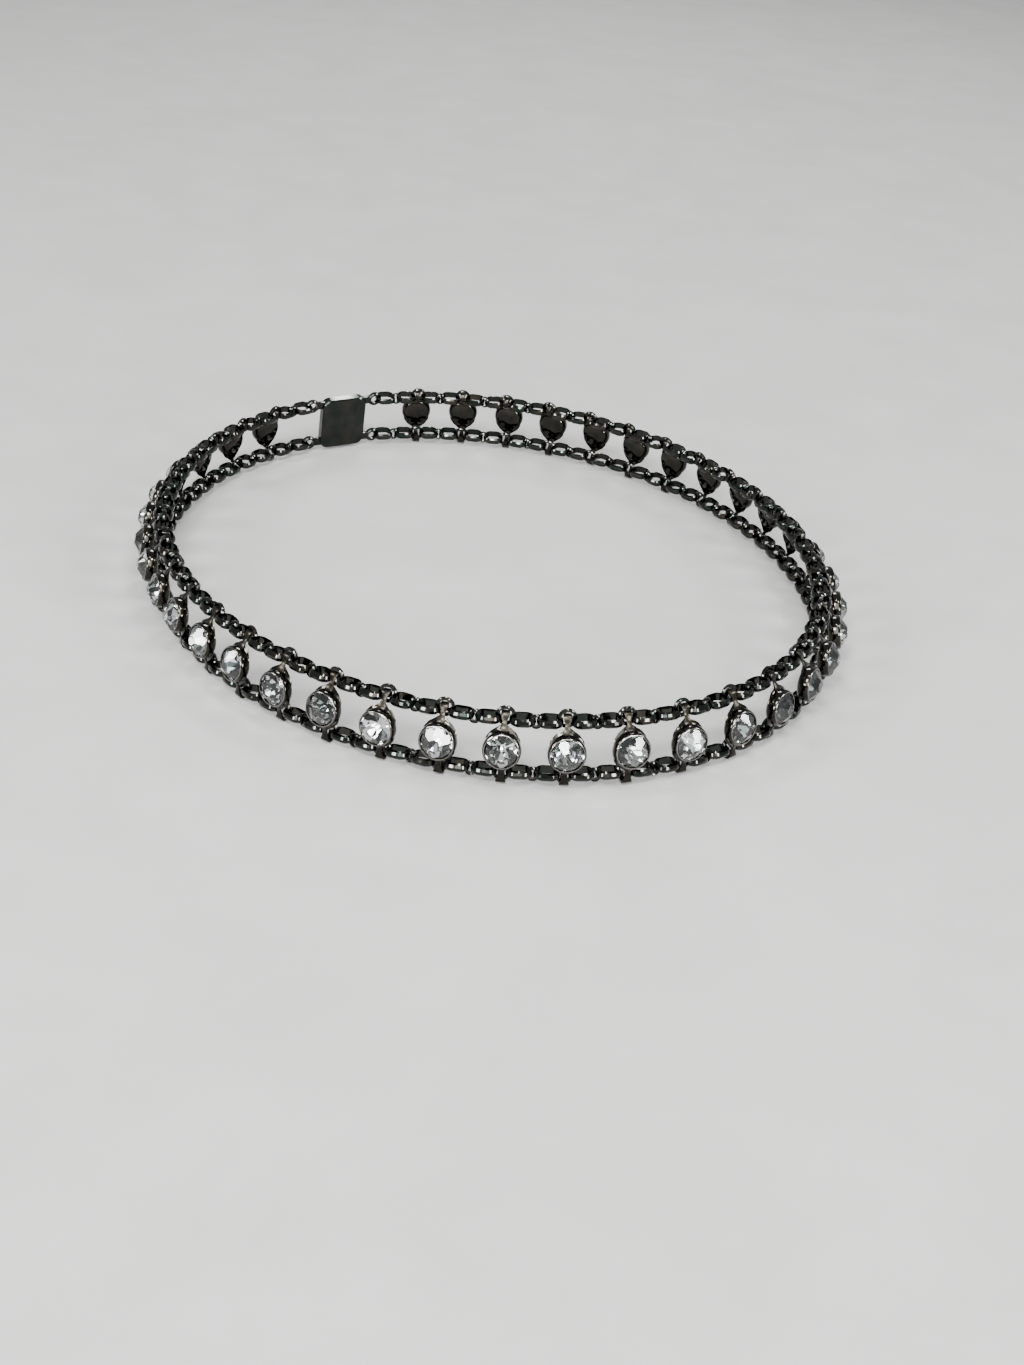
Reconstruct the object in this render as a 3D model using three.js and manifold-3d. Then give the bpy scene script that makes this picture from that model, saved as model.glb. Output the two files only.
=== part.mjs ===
// A choker necklace: two parallel chain rows joined by a ladder of round rhinestone settings, and one plain clasp.
// Millimetres, +Z up. The origin is on the axis of the neck, halfway up the band. The wearer's front faces -Y.
import * as THREE from "three";
import { ConvexGeometry } from "three/addons/geometries/ConvexGeometry.js";
import { mergeVertices } from "three/addons/utils/BufferGeometryUtils.js";
import Module from "manifold-3d";

const wasm = await Module();
wasm.setup();

// The loop that the band follows, at mid-height in the plane of its two chain rows
const loopWidth = 106.2;
const loopDepth = 125.8;
const bandLean = 9; // degrees, how far the top of the band leans towards the neck
const settingCount = 39;
const claspSpan = 13.1; // between the eyes of the clasp, measured along the loop

// The chain rows, each as the tube that its links fill
const rowSpacing = 8.0;
const rowDiameter = 1.8;
const rowSides = 8;
const clearance = 0.3;

// The strap behind each cup, whose ends hook round the rows
const strapThickness = 0.3;
const strapNeckWidth = 0.95;
const strapEndWidth = 1.4;
const shoulderWidth = 4.0;
const upperHookSweep = 135; // degrees round the row, from its front over the top
const lowerHookSweep = 180; // degrees round the row, from its front under the bottom
const hookStep = 45;

// The cup and the rhinestone in it
const cupDiameter = 5.6;
const cupBackDiameter = 4.4;
const cupTaperDepth = 0.6;
const cupDepth = 1.95;
const cupSides = 16;
const rimWidth = 0.3;
const rimRoll = 0.2; // how far the rim is rolled in and forward over the stone
const seatDepth = 0.4; // how deep the stone's edge sits behind the rim
const tableShare = 0.56; // the table's diameter as a share of the stone's
const starShare = 0.8; // the diameter through the tips of the star facets, as a share of the stone's
const starHeightShare = 0.55; // their height, as a share of the crown's
const crownHeight = 1.15;

// The clasp at the back
const claspMargin = 1.0; // between the plate's ends and the outsides of its eyes
const claspHeight = 10.4;
const claspThickness = 1.8;
const claspCornerRadius = 1.6;
const claspCornerSteps = 3;
const eyeDiameter = 2.8;
const eyeHoleDiameter = 1.6;
const eyeThickness = 1.0;
const eyeSides = 10;

const gunmetal = new THREE.MeshStandardMaterial({ color: 0x2b2d2e, roughness: 0.2, metalness: 1.0 });
const setStone = new THREE.MeshStandardMaterial({ color: 0x8e9496, roughness: 0.15, metalness: 0.6 });

// The loop starts at the wearer's front and runs towards +X.
const loop = new THREE.EllipseCurve(0, 0, loopWidth / 2, loopDepth / 2, -Math.PI / 2, (3 * Math.PI) / 2);
loop.arcLengthDivisions = 4000;
const loopLength = loop.getLength();
const stonePitch = (loopLength - claspSpan) / (settingCount + 1);

// The band's own axes at a distance along the loop from the front: X outwards, Y along the band, Z up the band.
function bandFrame(distance, upBand = 0) {
  const share = THREE.MathUtils.euclideanModulo(distance / loopLength, 1);
  const point = loop.getPointAt(share);
  const along = loop.getTangentAt(share);
  const lean = THREE.MathUtils.degToRad(bandLean);
  const level = new THREE.Vector3(along.y, -along.x, 0);
  const tangent = new THREE.Vector3(along.x, along.y, 0);
  const outward = level.clone().multiplyScalar(Math.cos(lean)).setZ(Math.sin(lean));
  const up = new THREE.Vector3().crossVectors(outward, tangent);
  const frame = new THREE.Matrix4().makeBasis(outward, tangent, up);
  return frame.setPosition(new THREE.Vector3(point.x, point.y, 0).addScaledVector(up, upBand));
}

// The centre line of one chain row, between the clasp's eyes
class RowPath extends THREE.Curve {
  constructor(upBand) {
    super();
    this.upBand = upBand;
    this.reach = (loopLength - claspSpan) / 2 - eyeDiameter / 2 - clearance;
  }
  getPoint(t, target = new THREE.Vector3()) {
    const distance = THREE.MathUtils.lerp(-this.reach, this.reach, t);
    return target.setFromMatrixPosition(bandFrame(distance, this.upBand));
  }
}

function solidOf(geometry) {
  const bare = geometry.clone();
  bare.deleteAttribute("normal");
  bare.deleteAttribute("uv");
  const merged = mergeVertices(bare, 1e-4);
  const corners = merged.index.array;
  const kept = [];
  for (let i = 0; i < corners.length; i += 3) {
    const [a, b, c] = corners.subarray(i, i + 3);
    if (a !== b && b !== c && c !== a) kept.push(a, b, c);
  }
  return new wasm.Manifold(
    new wasm.Mesh({
      numProp: 3,
      vertProperties: merged.attributes.position.array,
      triVerts: new Uint32Array(kept),
    }),
  );
}

function geometryOf(solid) {
  const mesh = solid.getMesh();
  const geometry = new THREE.BufferGeometry();
  geometry.setAttribute("position", new THREE.BufferAttribute(mesh.vertProperties, mesh.numProp));
  geometry.setIndex(new THREE.BufferAttribute(mesh.triVerts, 1));
  return geometry;
}

// A flat outline in band axes (along, up), made a slab between two distances outwards
function slab(outline, inner, outer) {
  const geometry = new THREE.ExtrudeGeometry(outline, {
    depth: outer - inner,
    bevelEnabled: false,
    curveSegments: claspCornerSteps,
  });
  const axes = new THREE.Matrix4().makeBasis(
    new THREE.Vector3(0, 1, 0),
    new THREE.Vector3(0, 0, 1),
    new THREE.Vector3(1, 0, 0),
  );
  return geometry.applyMatrix4(axes).translate(inner, 0, 0);
}

// A profile in band axes (outward, up), made as wide as asked along the band
function sweep(profile, width) {
  const geometry = new THREE.ExtrudeGeometry(profile, { depth: width, bevelEnabled: false });
  const axes = new THREE.Matrix4().makeBasis(
    new THREE.Vector3(1, 0, 0),
    new THREE.Vector3(0, 0, 1),
    new THREE.Vector3(0, -1, 0),
  );
  return geometry.applyMatrix4(axes).translate(0, width / 2, 0);
}

const hookInner = rowDiameter / 2 + clearance;
const hookOuter = hookInner + strapThickness;
const rowUp = rowSpacing / 2;

// Points round a row's centre, from its front: side 1 turns over the top, side -1 under the bottom.
function hookArc(radius, side, sweepAngle) {
  const points = [];
  for (let angle = 0; angle <= sweepAngle; angle += hookStep) {
    const turn = THREE.MathUtils.degToRad(angle);
    points.push(new THREE.Vector2(radius * Math.cos(turn), side * (rowUp + radius * Math.sin(turn))));
  }
  return points;
}

// One flat strap, seen from the side: a hook over the upper row, the back of the cup, and a hook under the lower row
function strapProfile() {
  return new THREE.Shape([
    ...hookArc(hookOuter, -1, lowerHookSweep).reverse(),
    ...hookArc(hookOuter, 1, upperHookSweep),
    ...hookArc(hookInner, 1, upperHookSweep).reverse(),
    ...hookArc(hookInner, -1, lowerHookSweep),
  ]);
}

// The strap seen from the front: shoulders as wide as the cup's back, a neck between the links, a flared end
function strapOutline() {
  const end = rowUp + hookOuter + clearance;
  const quarter = [
    [shoulderWidth / 2, cupBackDiameter / 4],
    [strapNeckWidth / 2, rowUp - rowDiameter / 2],
    [strapEndWidth / 2, end],
  ];
  const right = [...quarter.map(([y, z]) => [y, -z]).reverse(), ...quarter];
  const left = right.map(([y, z]) => [-y, z]).reverse();
  return new THREE.Shape([...right, ...left].map(([y, z]) => new THREE.Vector2(y, z)));
}

function strap() {
  const side = solidOf(sweep(strapProfile(), shoulderWidth));
  const front = solidOf(slab(strapOutline(), -hookOuter - clearance, hookOuter + clearance));
  return side.intersect(front);
}

const cupBack = hookInner;
const rimFront = cupBack + cupDepth;
const stoneDiameter = cupDiameter - 2 * (rimWidth + rimRoll);

function turned(profile) {
  const points = profile.map(([radius, outward]) => new THREE.Vector2(radius, outward));
  const geometry = new THREE.LatheGeometry(points, cupSides);
  const axes = new THREE.Matrix4().makeBasis(
    new THREE.Vector3(0, 1, 0),
    new THREE.Vector3(1, 0, 0),
    new THREE.Vector3(0, 0, -1),
  );
  return geometry.applyMatrix4(axes);
}

// A closed cup whose rim is rolled in over the edge of the stone
function cup() {
  const radius = cupDiameter / 2;
  return solidOf(
    turned([
      [0, cupBack],
      [cupBackDiameter / 2, cupBack],
      [radius, cupBack + cupTaperDepth],
      [radius, rimFront - rimRoll],
      [radius - rimRoll, rimFront],
      [0, rimFront],
    ]),
  );
}

function ring(diameter, outward, count, turnShare) {
  return Array.from({ length: count }, (_, i) => {
    const turn = ((i + turnShare) / count) * 2 * Math.PI;
    return new THREE.Vector3(outward, (diameter / 2) * Math.cos(turn), (diameter / 2) * Math.sin(turn));
  });
}

// A brilliant's crown: an eight-sided table, eight star facets, eight kites and the facets along the girdle
function stone() {
  return solidOf(
    new ConvexGeometry([
      ...ring(stoneDiameter, rimFront - seatDepth, cupSides, 0),
      ...ring(stoneDiameter, rimFront, cupSides, 0),
      ...ring(stoneDiameter * starShare, rimFront + crownHeight * starHeightShare, cupSides / 2, 0),
      ...ring(stoneDiameter * tableShare, rimFront + crownHeight, cupSides / 2, 0.5),
    ]),
  );
}

const settingGeometry = geometryOf(strap().add(cup()).add(stone()));

function placed(name, geometry, material, frame) {
  const mesh = new THREE.Mesh(geometry, material);
  mesh.name = name;
  frame.decompose(mesh.position, mesh.quaternion, mesh.scale);
  return mesh;
}

function settings() {
  const group = new THREE.Group();
  for (let i = 0; i < settingCount; i += 1) {
    const distance = (i - (settingCount - 1) / 2) * stonePitch;
    const name = "setting_" + String(i + 1).padStart(2, "0");
    group.add(placed(name, settingGeometry, setStone, bandFrame(distance)));
  }
  return group;
}

function chainRow(name, upBand) {
  const section = new THREE.Shape(
    Array.from({ length: rowSides }, (_, i) => {
      const turn = ((i + 0.5) / rowSides) * 2 * Math.PI;
      return new THREE.Vector2((rowDiameter / 2) * Math.cos(turn), (rowDiameter / 2) * Math.sin(turn));
    }),
  );
  const geometry = new THREE.ExtrudeGeometry(section, {
    steps: settingCount + 1,
    extrudePath: new RowPath(upBand),
  });
  const mesh = new THREE.Mesh(geometry, gunmetal);
  mesh.name = name;
  return mesh;
}

function disc(diameter, thickness, sides, at) {
  const geometry = new THREE.CylinderGeometry(diameter / 2, diameter / 2, thickness, sides);
  return solidOf(geometry.rotateZ(Math.PI / 2).translate(at.x, at.y, at.z));
}

function roundedPlate(length, height, radius) {
  const [y, z] = [length / 2, height / 2];
  return new THREE.Shape()
    .moveTo(-y + radius, -z)
    .lineTo(y - radius, -z)
    .absarc(y - radius, -z + radius, radius, -Math.PI / 2, 0, false)
    .lineTo(y, z - radius)
    .absarc(y - radius, z - radius, radius, 0, Math.PI / 2, false)
    .lineTo(-y + radius, z)
    .absarc(-y + radius, z - radius, radius, Math.PI / 2, Math.PI, false)
    .lineTo(-y, -z + radius)
    .absarc(-y + radius, -z + radius, radius, Math.PI, 1.5 * Math.PI, false);
}

// A plain plate with an eye at each corner, which the end links of the rows go through
function clasp() {
  const frame = bandFrame(loopLength / 2);
  const inverse = frame.clone().invert();
  const eyes = [];
  for (const upBand of [-rowUp, rowUp]) {
    for (const end of [-1, 1]) {
      const world = bandFrame(loopLength / 2 + (end * claspSpan) / 2, upBand);
      eyes.push(new THREE.Vector3().setFromMatrixPosition(world).applyMatrix4(inverse));
    }
  }
  const chord = eyes.reduce((sum, eye) => sum + eye.x, 0) / eyes.length;
  const length = claspSpan - eyeDiameter - 2 * claspMargin + 2 * clearance;
  const outline = roundedPlate(length, claspHeight, claspCornerRadius);
  let body = solidOf(slab(outline, chord - claspThickness / 2, chord + claspThickness / 2));
  for (const eye of eyes) {
    const centre = eye.clone().setX(chord);
    const lug = new THREE.BoxGeometry(eyeThickness, claspSpan / 4, eyeDiameter / 2);
    lug.translate(chord, eye.y - (Math.sign(eye.y) * claspSpan) / 8, eye.z);
    body = body.add(solidOf(lug)).add(disc(eyeDiameter, eyeThickness, eyeSides, centre));
  }
  for (const eye of eyes) {
    const centre = eye.clone().setX(chord);
    body = body.subtract(disc(eyeHoleDiameter, claspThickness, eyeSides, centre));
  }
  return placed("clasp", geometryOf(body), gunmetal, frame);
}

const choker = new THREE.Group();
choker.add(settings());
choker.add(chainRow("upper_chain", rowUp));
choker.add(chainRow("lower_chain", -rowUp));
choker.add(clasp());

export default choker;
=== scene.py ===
import math
import random

import bpy
from mathutils import Matrix, Vector


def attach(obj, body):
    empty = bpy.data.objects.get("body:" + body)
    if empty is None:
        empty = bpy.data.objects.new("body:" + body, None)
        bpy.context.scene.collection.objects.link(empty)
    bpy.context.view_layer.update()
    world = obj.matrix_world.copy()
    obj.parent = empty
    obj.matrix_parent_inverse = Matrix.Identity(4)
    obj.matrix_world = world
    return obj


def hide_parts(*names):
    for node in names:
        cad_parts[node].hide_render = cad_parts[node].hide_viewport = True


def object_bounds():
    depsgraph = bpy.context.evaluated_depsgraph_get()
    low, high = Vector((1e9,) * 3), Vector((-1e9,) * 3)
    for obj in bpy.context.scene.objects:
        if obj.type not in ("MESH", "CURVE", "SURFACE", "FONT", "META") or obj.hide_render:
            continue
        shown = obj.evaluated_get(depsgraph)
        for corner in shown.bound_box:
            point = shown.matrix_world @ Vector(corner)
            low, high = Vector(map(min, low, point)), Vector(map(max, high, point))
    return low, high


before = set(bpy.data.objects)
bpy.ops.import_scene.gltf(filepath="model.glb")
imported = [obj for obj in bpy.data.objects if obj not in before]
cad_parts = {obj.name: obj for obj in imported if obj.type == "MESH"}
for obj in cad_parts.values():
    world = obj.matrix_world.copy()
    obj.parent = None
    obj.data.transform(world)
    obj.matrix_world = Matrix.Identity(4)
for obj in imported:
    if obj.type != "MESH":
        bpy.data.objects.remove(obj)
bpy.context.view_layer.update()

MM = 0.001

# The loop, in millimetres, as the frame's own pieces follow it
LOOP_WIDTH = 106.2
LOOP_DEPTH = 125.8
BAND_LEAN = math.radians(9)
CLASP_SPAN = 13.1
ROW_UP = 4.0
SETTINGS = 39

# The links: flat ovals, upright rings that the straps fold through, and small joiners between
OVAL_LENGTH = 3.88
OVAL_DEPTH = 3.4
OVAL_HEIGHT = 1.3
OVAL_WALL = 0.44
OVAL_CORNER = 1.4
OVAL_PLACE = 2.44
RING_DIAMETER = 3.0
RING_BAND = 0.7
RING_WALL = 0.5
UPPER_RING_LIFT = 0.5
LOWER_RING_LIFT = 0.04
JOINER_LENGTH = 2.0
JOINER_HEIGHT = 2.3
JOINER_BAND = 0.9
JOINER_WALL = 0.42
JOINER_DROP = 0.14
END_OVAL_SHIFT = 0.25
LINK_SIDES = 16
SWING = 5  # degrees, the most that a link is turned by chance
JOINER_SWING = 12
TWIST = 4
JOINER_PLAY = 0.08

# The settings: a cup with a rolled rim, its strap, and the stone
CUP_BACK = 1.2
CUP_DEPTH = 1.95
CUP_RADIUS = 2.8
STONE_RADIUS = 2.4
GIRDLE_SINK = 0.22
CROWN_HEIGHT = 1.25
PAVILION_DEPTH = 1.54
GIRDLE_HALF = 0.06
STAR_REACH = 0.6
KITE_SLOPE = math.radians(37)
GIRDLE_SLOPE = math.radians(44)
STAR_SLOPE = math.radians(24)
MAIN_SLOPE = math.radians(34)
LOWER_SLOPE = math.radians(38)
STRAP_THICKNESS = 0.24
STRAP_ROOT = 0.3
SETTING_NOD = 3
SETTING_TURN = 2.5
# The ring of rim faces that take the paler plate, a painted highlight
RIM_INSIDE = 2.45
RIM_OUTSIDE = 2.60
SHOULDER_TOP = 1.8
SHOULDER_START = 1.0

# The clasp: a plain plate with an eye at each corner
PLATE_LENGTH = 8.9
PLATE_HEIGHT = 10.4
PLATE_THICKNESS = 1.8
PLATE_CORNER = 1.6
EYE_DIAMETER = 2.8
EYE_WALL = 0.6
EYE_THICKNESS = 1.0
LUG_ROOT = 0.8
LUG_THICKNESS = 0.8

# The camera, fitted to the stones' places in the photograph
PHOTO_WIDTH = 1024
PHOTO_HEIGHT = 1365
FOCAL_PIXELS = 1900
CAMERA_DISTANCE = 320.8
CAMERA_ELEVATION = math.radians(29.72)
CAMERA_TURN = math.radians(29.31)
CAMERA_ROLL = math.radians(-4.14)
CENTRE_RIGHT = -4.41
CENTRE_UP = 21.63
SENSOR = 36.0

random.seed(4)


def add_camera():
    across = Vector((math.cos(CAMERA_TURN), -math.sin(CAMERA_TURN), 0))
    ahead = Vector((math.sin(CAMERA_TURN), math.cos(CAMERA_TURN), 0))
    level_up = ahead * math.sin(CAMERA_ELEVATION) + Vector((0, 0, math.cos(CAMERA_ELEVATION)))
    look = ahead * math.cos(CAMERA_ELEVATION) - Vector((0, 0, math.sin(CAMERA_ELEVATION)))
    right = across * math.cos(CAMERA_ROLL) - level_up * math.sin(CAMERA_ROLL)
    up = across * math.sin(CAMERA_ROLL) + level_up * math.cos(CAMERA_ROLL)
    place = -(right * CENTRE_RIGHT + up * CENTRE_UP + look * CAMERA_DISTANCE) * MM
    bpy.ops.object.camera_add()
    camera = bpy.context.object
    camera.name = "camera"
    turn = Matrix((right, up, -look)).transposed().to_4x4()
    camera.matrix_world = Matrix.Translation(place) @ turn
    camera.data.sensor_width = SENSOR
    camera.data.lens = FOCAL_PIXELS / max(PHOTO_WIDTH, PHOTO_HEIGHT) * SENSOR
    camera.data.clip_start = 0.01
    camera.data.dof.use_dof = False
    bpy.context.scene.camera = camera


# Places along the loop

def loop_table(steps=4000):
    """The ellipse's points with the distance along it, from the wearer's front towards +X."""
    points = []
    distance = 0.0
    last = None
    for i in range(steps + 1):
        angle = -math.pi / 2 + 2 * math.pi * i / steps
        point = Vector((LOOP_WIDTH / 2 * math.cos(angle), LOOP_DEPTH / 2 * math.sin(angle), 0))
        if last is not None:
            distance += (point - last).length
        points.append((distance, angle))
        last = point
    return points


LOOP = loop_table()
LOOP_LENGTH = LOOP[-1][0]
PITCH = (LOOP_LENGTH - CLASP_SPAN) / (SETTINGS + 1)


def band_place(distance, up_band=0.0):
    """The band's axes at a distance from the front: X along the band, Y up it, Z outwards, in metres."""
    share = distance % LOOP_LENGTH
    low, high = 0, len(LOOP) - 1
    while high - low > 1:
        middle = (low + high) // 2
        if LOOP[middle][0] <= share:
            low = middle
        else:
            high = middle
    part = (share - LOOP[low][0]) / (LOOP[high][0] - LOOP[low][0])
    angle = LOOP[low][1] + part * (LOOP[high][1] - LOOP[low][1])
    point = Vector((LOOP_WIDTH / 2 * math.cos(angle), LOOP_DEPTH / 2 * math.sin(angle), 0))
    along = Vector((-LOOP_WIDTH * math.sin(angle), LOOP_DEPTH * math.cos(angle), 0)).normalized()
    level = Vector((along.y, -along.x, 0))
    outward = level * math.cos(BAND_LEAN) + Vector((0, 0, math.sin(BAND_LEAN)))
    up = outward.cross(along)
    turn = Matrix((along, up, outward)).transposed().to_4x4()
    return Matrix.Translation((point + up * up_band) * MM) @ turn @ Matrix.Scale(MM, 4)


# Modelling helpers: work happens in millimetres at the origin, and a finished copy is set in its place

def deselect():
    if bpy.context.object is not None and bpy.context.object.mode != "OBJECT":
        bpy.ops.object.mode_set(mode="OBJECT")
    bpy.ops.object.select_all(action="DESELECT")


def activate(piece):
    deselect()
    piece.select_set(True)
    bpy.context.view_layer.objects.active = piece


def step_out(rise, scale):
    """Extrudes the selected end face and scales the new edge about the axis."""
    bpy.ops.mesh.extrude_region_move(TRANSFORM_OT_translate={"value": (0, 0, rise)})
    bpy.ops.transform.resize(value=(scale, scale, 1), center_override=(0, 0, 0))


def bevel(piece, width, segments, angle=math.radians(30)):
    activate(piece)
    modifier = piece.modifiers.new("edges", "BEVEL")
    modifier.width = width
    modifier.segments = segments
    modifier.limit_method = "ANGLE"
    modifier.angle_limit = angle
    bpy.ops.object.modifier_apply(modifier=modifier.name)


def smooth(piece, angle=40):
    activate(piece)
    bpy.ops.object.shade_smooth_by_angle(angle=math.radians(angle))


def copy_to(pattern, name, place):
    piece = pattern.copy()
    piece.data = pattern.data.copy()
    piece.name = name
    piece.data.name = name
    piece.data.transform(place)
    bpy.context.scene.collection.objects.link(piece)
    return piece


def join(pieces, name):
    deselect()
    for piece in pieces:
        piece.select_set(True)
    bpy.context.view_layer.objects.active = pieces[0]
    bpy.ops.object.join()
    joined = bpy.context.object
    joined.name = name
    joined.data.name = name
    return joined


def finish_piece(piece, slot, *nodes):
    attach(piece, "root")
    if nodes:
        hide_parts(*nodes)


# Materials

def node_material(name):
    material = bpy.data.materials.new(name)
    material.use_nodes = True
    tree = material.node_tree
    shader = tree.nodes["Principled BSDF"]
    return material, tree, shader


def noise(tree, scale, detail=2.0):
    place = tree.nodes.new("ShaderNodeTexCoord")
    texture = tree.nodes.new("ShaderNodeTexNoise")
    texture.inputs["Scale"].default_value = scale
    texture.inputs["Detail"].default_value = detail
    tree.links.new(place.outputs["Object"], texture.inputs["Vector"])
    return texture


def ramp(tree, source, stops):
    colours = tree.nodes.new("ShaderNodeValToRGB")
    while len(colours.color_ramp.elements) < len(stops):
        colours.color_ramp.elements.new(0.5)
    for element, (position, colour) in zip(colours.color_ramp.elements, stops):
        element.position = position
        element.color = (*colour, 1.0)
    tree.links.new(source, colours.inputs["Fac"])
    return colours


def gunmetal_material():
    """Black nickel plate: dark, mirror-like, with faint green and brown tints and tiny handling marks."""
    material, tree, shader = node_material("gunmetal")
    shader.inputs["Metallic"].default_value = 1.0
    tint = noise(tree, 420, 3)
    colour = ramp(
        tree,
        tint.outputs["Fac"],
        [(0.3, (0.018, 0.025, 0.021)), (0.5, (0.028, 0.030, 0.027)), (0.7, (0.042, 0.037, 0.031))],
    )
    tree.links.new(colour.outputs["Color"], shader.inputs["Base Color"])
    wear = noise(tree, 2600, 4)
    gloss = tree.nodes.new("ShaderNodeMapRange")
    gloss.inputs["To Min"].default_value = 0.06
    gloss.inputs["To Max"].default_value = 0.18
    tree.links.new(wear.outputs["Fac"], gloss.inputs["Value"])
    tree.links.new(gloss.outputs["Result"], shader.inputs["Roughness"])
    dimples = noise(tree, 1500, 2)
    bump = tree.nodes.new("ShaderNodeBump")
    bump.inputs["Strength"].default_value = 0.08
    bump.inputs["Distance"].default_value = 0.00003
    tree.links.new(dimples.outputs["Fac"], bump.inputs["Height"])
    tree.links.new(bump.outputs["Normal"], shader.inputs["Normal"])
    return material


def plated_material(name, colours, polish):
    """The plate on the cups, the paler plate on their rims that is a painted highlight, and the duller
    straps, with its own tone and polish.
    """
    material, tree, shader = node_material(name)
    shader.inputs["Metallic"].default_value = 1.0
    tint = noise(tree, 500, 3)
    colour = ramp(tree, tint.outputs["Fac"], [(0.3, colours[0]), (0.7, colours[1])])
    tree.links.new(colour.outputs["Color"], shader.inputs["Base Color"])
    wear = noise(tree, 3000, 4)
    gloss = tree.nodes.new("ShaderNodeMapRange")
    gloss.inputs["To Min"].default_value = polish[0]
    gloss.inputs["To Max"].default_value = polish[1]
    tree.links.new(wear.outputs["Fac"], gloss.inputs["Value"])
    tree.links.new(gloss.outputs["Result"], shader.inputs["Roughness"])
    return material


def crystal_material():
    """Clear lead glass."""
    material, tree, shader = node_material("crystal")
    shader.inputs["Base Color"].default_value = (0.96, 0.98, 0.965, 1)
    shader.inputs["Transmission Weight"].default_value = 1.0
    shader.inputs["Roughness"].default_value = 0.0
    shader.inputs["IOR"].default_value = 1.6
    haze = noise(tree, 1800, 2)
    gloss = tree.nodes.new("ShaderNodeMapRange")
    gloss.inputs["To Min"].default_value = 0.0
    gloss.inputs["To Max"].default_value = 0.03
    tree.links.new(haze.outputs["Fac"], gloss.inputs["Value"])
    tree.links.new(gloss.outputs["Result"], shader.inputs["Roughness"])
    return material


# Painted reflections: light, grey and dark tones dealt to the pavilion facets in place of the surroundings
# that each facet would reflect.
PAINTED_REFLECTION_TONES = [
    (0.98, 0.98, 0.97),
    (0.96, 0.97, 0.96),
    (0.91, 0.89, 0.99),
    (0.34, 0.38, 0.36),
    (0.06, 0.07, 0.065),
    (0.02, 0.025, 0.025),
    (0.01, 0.012, 0.012),
]


def foil_material():
    """The silvering behind the stone. Its colour is the painted reflection tone that each facet was given,
    light or dark as reflected surroundings would be.
    """
    material, tree, shader = node_material("silvered_back_painted_reflections")
    shader.inputs["Metallic"].default_value = 1.0
    tone = tree.nodes.new("ShaderNodeAttribute")
    tone.attribute_name = "painted_reflection_tone"
    patches = noise(tree, 900, 2)
    wear = ramp(tree, patches.outputs["Fac"], [(0.35, (0.9, 0.9, 0.9)), (0.65, (1.0, 1.0, 1.0))])
    mixed = tree.nodes.new("ShaderNodeMix")
    mixed.data_type = "RGBA"
    mixed.blend_type = "MULTIPLY"
    mixed.inputs["Factor"].default_value = 1.0
    tree.links.new(tone.outputs["Color"], mixed.inputs["A"])
    tree.links.new(wear.outputs["Color"], mixed.inputs["B"])
    tree.links.new(mixed.outputs["Result"], shader.inputs["Base Color"])
    shader.inputs["Roughness"].default_value = 0.04
    return material


def floor_material():
    material, tree, shader = node_material("pale_floor")
    grain = noise(tree, 60, 4)
    colour = ramp(
        tree,
        grain.outputs["Fac"],
        [(0.3, (0.202, 0.200, 0.196)), (0.7, (0.222, 0.220, 0.216))],
    )
    tree.links.new(colour.outputs["Color"], shader.inputs["Base Color"])
    shader.inputs["Roughness"].default_value = 0.9
    return material


# The links of the two rows

def band_link(name, length, depth, height, wall, corner):
    """A closed band about Z with rounded corners. Its outer face is crowned and its outer edges chamfered."""
    half = height / 2
    section = [
        (0, 0),
        (0.155 * half, 0.62 * half),
        (0.535 * half, half),
        (wall, 0.9 * half),
        (wall, -0.9 * half),
        (0.535 * half, -half),
        (0.155 * half, -0.62 * half),
    ]
    bpy.ops.mesh.primitive_circle_add(vertices=LINK_SIDES, radius=corner)
    link = bpy.context.object
    link.name = name
    turn = Matrix.Rotation(math.pi / LINK_SIDES, 4, "Z")
    for point in link.data.vertices:
        place = turn @ point.co
        place.x += math.copysign(length / 2 - corner, place.x)
        place.y += math.copysign(depth / 2 - corner, place.y)
        point.co = place
    bpy.ops.object.mode_set(mode="EDIT")
    bpy.ops.mesh.select_all(action="SELECT")
    last_inset = last_rise = 0
    for inset, rise in section[1:] + section[:1]:
        bpy.ops.mesh.extrude_region_move(TRANSFORM_OT_translate={"value": (0, 0, rise - last_rise)})
        wide = (length - 2 * inset) / (length - 2 * last_inset)
        deep = (depth - 2 * inset) / (depth - 2 * last_inset)
        bpy.ops.transform.resize(value=(wide, deep, 1), center_override=(0, 0, 0))
        last_inset, last_rise = inset, rise
    bpy.ops.mesh.select_all(action="SELECT")
    bpy.ops.mesh.remove_doubles(threshold=1e-4)
    bpy.ops.mesh.normals_make_consistent(inside=False)
    bpy.ops.object.mode_set(mode="OBJECT")
    smooth(link, 25)
    return link


def round_band(name, diameter, height, wall):
    return band_link(name, diameter, diameter, height, wall, diameter / 2)


def oval_link():
    """A flat link: its hole faces up the band."""
    link = band_link("oval_link", OVAL_LENGTH, OVAL_DEPTH, OVAL_HEIGHT, OVAL_WALL, OVAL_CORNER)
    link.data.transform(Matrix.Rotation(math.radians(-90), 4, "X"))
    return link


def ring_link():
    """An upright ring, which a strap folds through: its hole faces outwards."""
    return round_band("ring_link", RING_DIAMETER, RING_BAND, RING_WALL)


def joiner_link():
    """A small upright link, which joins two flat ones between the settings."""
    corner = JOINER_LENGTH / 2
    return band_link("joiner_link", JOINER_LENGTH, JOINER_HEIGHT, JOINER_BAND, JOINER_WALL, corner)


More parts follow.
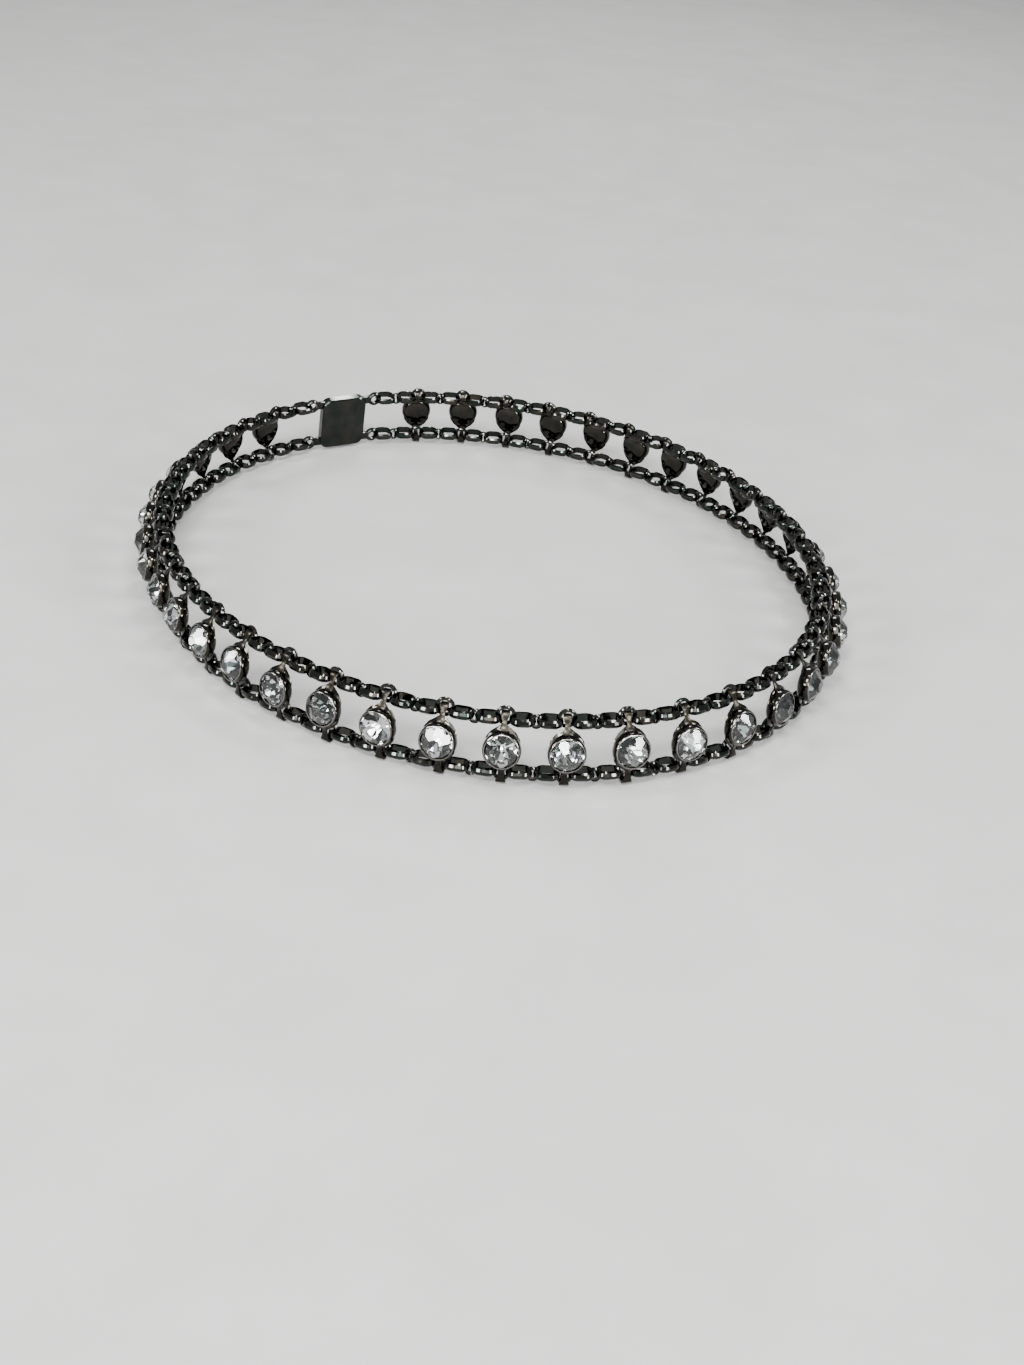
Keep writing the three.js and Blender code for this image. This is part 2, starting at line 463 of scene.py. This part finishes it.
def chain_row(name, up_band, ring_lift, oval, ring, joiner, metal):
    links = []
    half_row = (SETTINGS + 1) // 2
    for i in range(-half_row, half_row + 1):
        here = i * PITCH
        places = [(oval, -OVAL_PLACE, 0), (ring, 0, ring_lift), (oval, OVAL_PLACE, 0), (joiner, PITCH / 2, 0)]
        if i == -half_row:
            places = [(oval, OVAL_PLACE - END_OVAL_SHIFT, 0), (joiner, PITCH / 2, 0)]
        elif i == half_row:
            places = [(oval, -OVAL_PLACE + END_OVAL_SHIFT, 0)]
        for pattern, along, lift in places:
            swing = SWING
            if pattern is joiner:
                swing = JOINER_SWING
                lift = -JOINER_DROP + random.uniform(-JOINER_PLAY, JOINER_PLAY)
            place = band_place(here + along, up_band + lift)
            wobble = Matrix.Rotation(math.radians(random.uniform(-swing, swing)), 4, "Y")
            twist_axis = "X" if pattern is oval else "Z"
            wobble @= Matrix.Rotation(math.radians(random.uniform(-TWIST, TWIST)), 4, twist_axis)
            links.append(copy_to(pattern, "link", place @ wobble))
    row = join(links, name + "_links")
    row.data.materials.clear()
    row.data.materials.append(metal)
    finish_piece(row, "gunmetal", name)
    return row


# The cup, its strap and the stone

def cup_shell():
    """A round cup about Z, narrower at the back, with its rim rolled in over a deep seat."""
    bpy.ops.mesh.primitive_circle_add(vertices=40, radius=2.2, fill_type="NGON")
    cup = bpy.context.object
    cup.name = "cup"
    # How far each ring rises over the last, and its radius
    rings = [
        (0.10, 2.34),
        (0.40, 2.72),
        (0.40, CUP_RADIUS),
        (0.55, 2.77),
        (0.30, 2.70),
        (0.15, 2.60),
        (0.05, 2.52),
        (0.00, 2.44),
        (-0.06, 2.38),
        (-0.12, 2.35),
        (-0.30, 2.34),
        (-1.34, 1.90),
    ]
    bpy.ops.object.mode_set(mode="EDIT")
    bpy.ops.mesh.select_all(action="SELECT")
    bpy.ops.transform.translate(value=(0, 0, CUP_BACK))
    radius = 2.2
    for rise, wide in rings:
        step_out(rise, wide / radius)
        radius = wide
    bpy.ops.mesh.select_all(action="SELECT")
    bpy.ops.mesh.normals_make_consistent(inside=False)
    bpy.ops.object.mode_set(mode="OBJECT")
    return cup


def shoulder(side):
    """The drawn-out part of the cup towards the strap: a slanted cone from the wall to the neck."""
    bpy.ops.mesh.primitive_circle_add(vertices=24, radius=2.66, fill_type="NGON", location=(0, 0, 0))
    cone = bpy.context.object
    cone.name = "shoulder"
    # Half-width, half-depth, how far up the band, how far outwards
    steps = [
        (2.45, 1.20, 1.45, -0.14),
        (1.85, 0.60, 2.40, -0.24),
        (1.15, 0.35, 2.92, -0.40),
        (0.58, 0.20, 3.35, -0.54),
    ]
    bpy.ops.object.mode_set(mode="EDIT")
    bpy.ops.mesh.select_all(action="SELECT")
    bpy.ops.transform.translate(value=(0, 0, SHOULDER_TOP))
    wide = deep = 2.66
    up = back = 0
    for new_wide, new_deep, new_up, new_back in steps:
        move = (0, side * (new_up - up), new_back - back)
        bpy.ops.mesh.extrude_region_move(TRANSFORM_OT_translate={"value": move})
        centre = (0, side * new_up, SHOULDER_TOP + new_back)
        bpy.ops.transform.resize(value=(new_wide / wide, new_deep / deep, 1), center_override=centre)
        wide, deep, up, back = new_wide, new_deep, new_up, new_back
    bpy.ops.mesh.select_all(action="SELECT")
    bpy.ops.mesh.bisect(
        plane_co=(0, side * SHOULDER_START, 0), plane_no=(0, -side, 0), use_fill=True, clear_outer=True
    )
    bpy.ops.mesh.select_all(action="SELECT")
    bpy.ops.mesh.normals_make_consistent(inside=False)
    bpy.ops.object.mode_set(mode="OBJECT")
    return cone


# Half-widths and places of the strap, from the cup to its end: width, up the band, outwards
UPPER_STRAP = [
    (0.50, 2.50, 1.78),
    (0.60, 2.78, 1.70),
    (0.62, 3.02, 1.60),
    (0.52, 3.27, 1.45),
    (0.40, 3.52, 1.24),
    (0.34, 3.80, 1.04),
    (0.40, 4.15, 0.93),
    (0.54, 4.55, 0.86),
    (0.62, 4.88, 0.74),
    (0.62, 5.10, 0.46),
    (0.54, 5.16, 0.05),
    (0.44, 5.00, -0.38),
    (0.38, 4.45, -0.62),
    (0.36, 4.00, -0.70),
    (0.34, 3.60, -0.66),
]
LOWER_STRAP = [
    (0.50, 2.50, 1.78),
    (0.58, 2.78, 1.70),
    (0.52, 3.02, 1.58),
    (0.42, 3.30, 1.38),
    (0.37, 3.62, 1.14),
    (0.38, 4.00, 0.98),
    (0.44, 4.40, 0.90),
    (0.56, 4.85, 0.86),
    (0.67, 5.15, 0.80),
    (0.73, 5.36, 0.66),
    (0.74, 5.48, 0.36),
    (0.70, 5.50, -0.10),
    (0.62, 5.38, -0.46),
    (0.50, 5.05, -0.66),
    (0.44, 4.60, -0.72),
    (0.40, 4.10, -0.72),
]


def strap(stations, side, metal):
    """A flat strip run out from the cup through its stations, then given its thickness."""
    bpy.ops.mesh.primitive_plane_add(size=1)
    strip = bpy.context.object
    strip.name = "strap"
    first = stations[0]
    for corner in strip.data.vertices:
        root = STRAP_ROOT if corner.co.y < 0 else 0
        corner.co = (math.copysign(first[0], corner.co.x), side * (first[1] - root), first[2])
    last = first
    for station in stations[1:]:
        bpy.ops.object.mode_set(mode="EDIT")
        bpy.ops.mesh.select_mode(type="EDGE")
        bpy.ops.mesh.select_all(action="DESELECT")
        bpy.ops.object.mode_set(mode="OBJECT")
        end = Vector((0, side * last[1], last[2]))
        for edge in strip.data.edges:
            middle = (strip.data.vertices[edge.vertices[0]].co + strip.data.vertices[edge.vertices[1]].co) / 2
            edge.select = (middle - end).length < 1e-4
        bpy.ops.object.mode_set(mode="EDIT")
        move = Vector((0, side * (station[1] - last[1]), station[2] - last[2]))
        bpy.ops.mesh.extrude_region_move(TRANSFORM_OT_translate={"value": move})
        centre = end + move
        bpy.ops.transform.resize(value=(station[0] / last[0], 1, 1), center_override=centre)
        bpy.ops.object.mode_set(mode="OBJECT")
        last = station
    activate(strip)
    bpy.ops.object.mode_set(mode="EDIT")
    bpy.ops.mesh.select_all(action="SELECT")
    bpy.ops.mesh.normals_make_consistent(inside=False)
    bpy.ops.object.mode_set(mode="OBJECT")
    thickness = strip.modifiers.new("sheet", "SOLIDIFY")
    thickness.thickness = STRAP_THICKNESS
    thickness.offset = 0
    bpy.ops.object.modifier_apply(modifier=thickness.name)
    bevel(strip, 0.05, 2, math.radians(50))
    strip.data.materials.append(metal)
    return strip


def setting(cup_metal, rim_painted_highlight, strap_metal):
    cups = [cup_shell(), shoulder(1), shoulder(-1)]
    for part in cups:
        part.data.materials.append(cup_metal)
    # The rim's faces take the paler plate: a painted highlight along the rolled rim.
    cups[0].data.materials.append(rim_painted_highlight)
    for face in cups[0].data.polygons:
        if face.center.z > SHOULDER_TOP and RIM_INSIDE < face.center.xy.length < RIM_OUTSIDE:
            face.material_index = 1
    whole = join(cups + [strap(UPPER_STRAP, 1, strap_metal), strap(LOWER_STRAP, -1, strap_metal)], "setting")
    smooth(whole, 45)
    return whole


def cut(plane_point, plane_normal):
    bpy.ops.mesh.select_all(action="SELECT")
    bpy.ops.mesh.bisect(
        plane_co=plane_point, plane_no=plane_normal, use_fill=True, clear_outer=True, threshold=1e-5
    )


def facets(count, turn, slope, radius, height, side):
    """Cuts a ring of facets that slope inwards from a circle of that radius and height."""
    for i in range(count):
        angle = 2 * math.pi * (i + turn) / count
        out = Vector((math.cos(angle), math.sin(angle), 0))
        normal = out * math.sin(slope) + Vector((0, 0, side * math.cos(slope)))
        cut(out * radius + Vector((0, 0, height)), normal)


def stone(crystal, foil):
    """A brilliant cut over a silvered pavilion: table, eight stars, eight kites, sixteen girdle facets."""
    girdle = CUP_BACK + CUP_DEPTH - GIRDLE_SINK
    bpy.ops.mesh.primitive_cylinder_add(
        vertices=32, radius=STONE_RADIUS, depth=2 * PAVILION_DEPTH, location=(0, 0, 0)
    )
    gem = bpy.context.object
    gem.name = "stone"
    bpy.ops.object.mode_set(mode="EDIT")
    edge = STONE_RADIUS * math.cos(math.pi / 32)
    facets(8, 0.0, KITE_SLOPE, edge, GIRDLE_HALF, 1)
    facets(16, 0.5, GIRDLE_SLOPE, edge * 0.998, GIRDLE_HALF, 1)
    facets(8, 0.5, STAR_SLOPE, edge * STAR_REACH, CROWN_HEIGHT - 0.02, 1)
    cut((0, 0, CROWN_HEIGHT), (0, 0, 1))
    facets(8, 0.0, MAIN_SLOPE, edge, -GIRDLE_HALF, -1)
    facets(8, 0.5, LOWER_SLOPE, edge, -GIRDLE_HALF, -1)
    bpy.ops.mesh.select_all(action="SELECT")
    bpy.ops.mesh.remove_doubles(threshold=1e-4)
    bpy.ops.mesh.normals_make_consistent(inside=False)
    bpy.ops.object.mode_set(mode="OBJECT")
    gem.data.materials.append(crystal)
    gem.data.materials.append(foil)
    for face in gem.data.polygons:
        face.material_index = 1 if face.normal.z < -0.1 else 0
        face.use_smooth = False
    gem.data.transform(Matrix.Translation((0, 0, girdle)))
    return gem


def paint_reflection_tones(jewel):
    """Deals the painted reflection tones out to the facets, as the darkness or light that each one throws
    back.
    """
    tones = jewel.data.attributes.new("painted_reflection_tone", "FLOAT_COLOR", "FACE")
    dealt = []
    for face in jewel.data.polygons:
        if not dealt:
            dealt = random.sample(PAINTED_REFLECTION_TONES, len(PAINTED_REFLECTION_TONES))
        tones.data[face.index].color = (*dealt.pop(), 1.0)


def add_settings(metals, crystal, foil):
    mount = setting(*metals)
    gem = stone(crystal, foil)
    for i in range(SETTINGS):
        number = str(i + 1).zfill(2)
        place = band_place((i - (SETTINGS - 1) / 2) * PITCH)
        lean = Matrix.Rotation(math.radians(random.uniform(-SETTING_NOD, SETTING_NOD)), 4, "X")
        lean @= Matrix.Rotation(math.radians(random.uniform(-SETTING_TURN, SETTING_TURN)), 4, "Y")
        cup = copy_to(mount, "cup_" + number, place @ lean)
        finish_piece(cup, "gunmetal", "setting_" + number)
        turn = Matrix.Rotation(random.uniform(0, 2 * math.pi), 4, "Z")
        jewel = copy_to(gem, "stone_" + number, place @ lean @ turn)
        # Each stone's facets get painted reflection tones.
        paint_reflection_tones(jewel)
        finish_piece(jewel, "crystal")
    bpy.data.objects.remove(mount)
    bpy.data.objects.remove(gem)


# The clasp

def clasp(metal):
    """A plain rounded plate with an eye at each corner, where the end links of the rows hook in."""
    place = band_place(LOOP_LENGTH / 2)
    inverse = place.inverted()
    eyes = []
    for side in (-1, 1):
        for end in (-1, 1):
            eye = band_place(LOOP_LENGTH / 2 + end * CLASP_SPAN / 2, side * ROW_UP)
            eyes.append((inverse @ eye.translation, end))
    chord = sum(eye.z for eye, end in eyes) / len(eyes)
    bpy.ops.mesh.primitive_cube_add(size=1)
    plate = bpy.context.object
    plate.name = "plate"
    bpy.ops.object.mode_set(mode="EDIT")
    bpy.ops.mesh.select_all(action="SELECT")
    bpy.ops.transform.resize(value=(PLATE_LENGTH, PLATE_HEIGHT, PLATE_THICKNESS), center_override=(0, 0, 0))
    bpy.ops.transform.translate(value=(0, 0, chord))
    bpy.ops.mesh.select_mode(type="EDGE")
    bpy.ops.mesh.select_all(action="DESELECT")
    bpy.ops.object.mode_set(mode="OBJECT")
    points = plate.data.vertices
    for edge in plate.data.edges:
        first, second = (points[i].co for i in edge.vertices)
        edge.select = abs(first.z - second.z) > PLATE_THICKNESS / 2
    bpy.ops.object.mode_set(mode="EDIT")
    bpy.ops.mesh.bevel(offset=PLATE_CORNER, segments=6, affect="EDGES")
    bpy.ops.object.mode_set(mode="OBJECT")
    bevel(plate, 0.25, 1)
    parts = [plate]
    pattern = round_band("eye", EYE_DIAMETER, EYE_THICKNESS, EYE_WALL)
    for eye, end in eyes:
        parts.append(copy_to(pattern, "eye", Matrix.Translation((eye.x, eye.y, chord))))
        reach = abs(eye.x) - EYE_DIAMETER / 2 + EYE_WALL / 2 - PLATE_LENGTH / 2 + LUG_ROOT
        middle = PLATE_LENGTH / 2 - LUG_ROOT + reach / 2
        bpy.ops.mesh.primitive_cube_add(size=1)
        lug = bpy.context.object
        lug.data.transform(Matrix.Diagonal((reach, EYE_DIAMETER / 2, LUG_THICKNESS, 1)))
        bevel(lug, 0.12, 2)
        lug.data.transform(Matrix.Translation((math.copysign(middle, eye.x), eye.y, chord)))
        parts.append(lug)
    bpy.data.objects.remove(pattern)
    whole = join(parts, "clasp_plate")
    smooth(whole, 35)
    whole.data.transform(place)
    whole.data.materials.clear()
    whole.data.materials.append(metal)
    finish_piece(whole, "gunmetal", "clasp")


# The stage

# The lights: turn from the camera's side and height in degrees, distance and size in metres, power in watts
LIGHTS = {
    "front": (2, 36, 0.9, 0.60, 12.0),
    "key": (-14, 47, 0.6, 0.15, 6.5),
    "low_left": (-32, 15, 0.7, 0.16, 6.5),
    "low_right": (38, 14, 0.7, 0.16, 6.5),
    "high_right": (42, 62, 0.7, 0.10, 3.2),
    "left": (-75, 34, 0.6, 0.16, 4.2),
    "right": (85, 34, 0.6, 0.16, 4.2),
    "back": (180, 40, 0.7, 0.16, 3.6),
    "overhead": (8, 78, 0.9, 0.09, 2.2),
}
FLOOR_SIZE = 3.2
FLOOR_GAP = 0.0002


def area_light(name, turn, elevation, distance, size, power):
    """A square soft light aimed at the middle, placed by its turn from the camera's side and its height."""
    heading = -math.pi / 2 - CAMERA_TURN + math.radians(turn)
    rise = math.radians(elevation)
    flat = distance * math.cos(rise)
    place = Vector((flat * math.cos(heading), flat * math.sin(heading), distance * math.sin(rise)))
    bpy.ops.object.light_add(type="AREA", location=place)
    light = bpy.context.object
    light.name = name
    light.data.shape = "SQUARE"
    light.data.size = size
    light.data.energy = power
    light.rotation_euler = (-place).to_track_quat("-Z", "Y").to_euler()


def add_stage():
    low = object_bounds()[0]
    bpy.ops.mesh.primitive_plane_add(size=FLOOR_SIZE)
    floor = bpy.context.object
    floor.name = "floor"
    floor.data.transform(Matrix.Translation((0, 0, low[2] - FLOOR_GAP)))
    floor.data.materials.append(floor_material())
    for name, values in LIGHTS.items():
        area_light(name, *values)
    world = bpy.data.worlds.new("studio")
    bpy.context.scene.world = world
    world.use_nodes = True
    background = world.node_tree.nodes["Background"]
    background.inputs["Color"].default_value = (0.97, 0.985, 1.0, 1)
    background.inputs["Strength"].default_value = 0.7


def build():
    deselect()
    metal = gunmetal_material()
    crystal = crystal_material()
    foil = foil_material()
    patterns = (oval_link(), ring_link(), joiner_link())
    chain_row("upper_chain", ROW_UP, UPPER_RING_LIFT, *patterns, metal)
    chain_row("lower_chain", -ROW_UP, LOWER_RING_LIFT, *patterns, metal)
    for pattern in patterns:
        bpy.data.objects.remove(pattern)
    cup_metal = plated_material("cup_metal", [(0.017, 0.018, 0.016), (0.038, 0.034, 0.028)], (0.06, 0.16))
    strap_metal = plated_material("strap_metal", [(0.015, 0.014, 0.012), (0.027, 0.024, 0.019)], (0.24, 0.36))
    # Paler plate for the rims: a painted highlight, as a light line round each stone.
    rim_painted_highlight = plated_material("rim_painted_highlight", [(0.11, 0.11, 0.10), (0.19, 0.18, 0.165)], (0.08, 0.18))
    add_settings((cup_metal, rim_painted_highlight, strap_metal), crystal, foil)
    clasp(metal)


add_camera()
build()
add_stage()
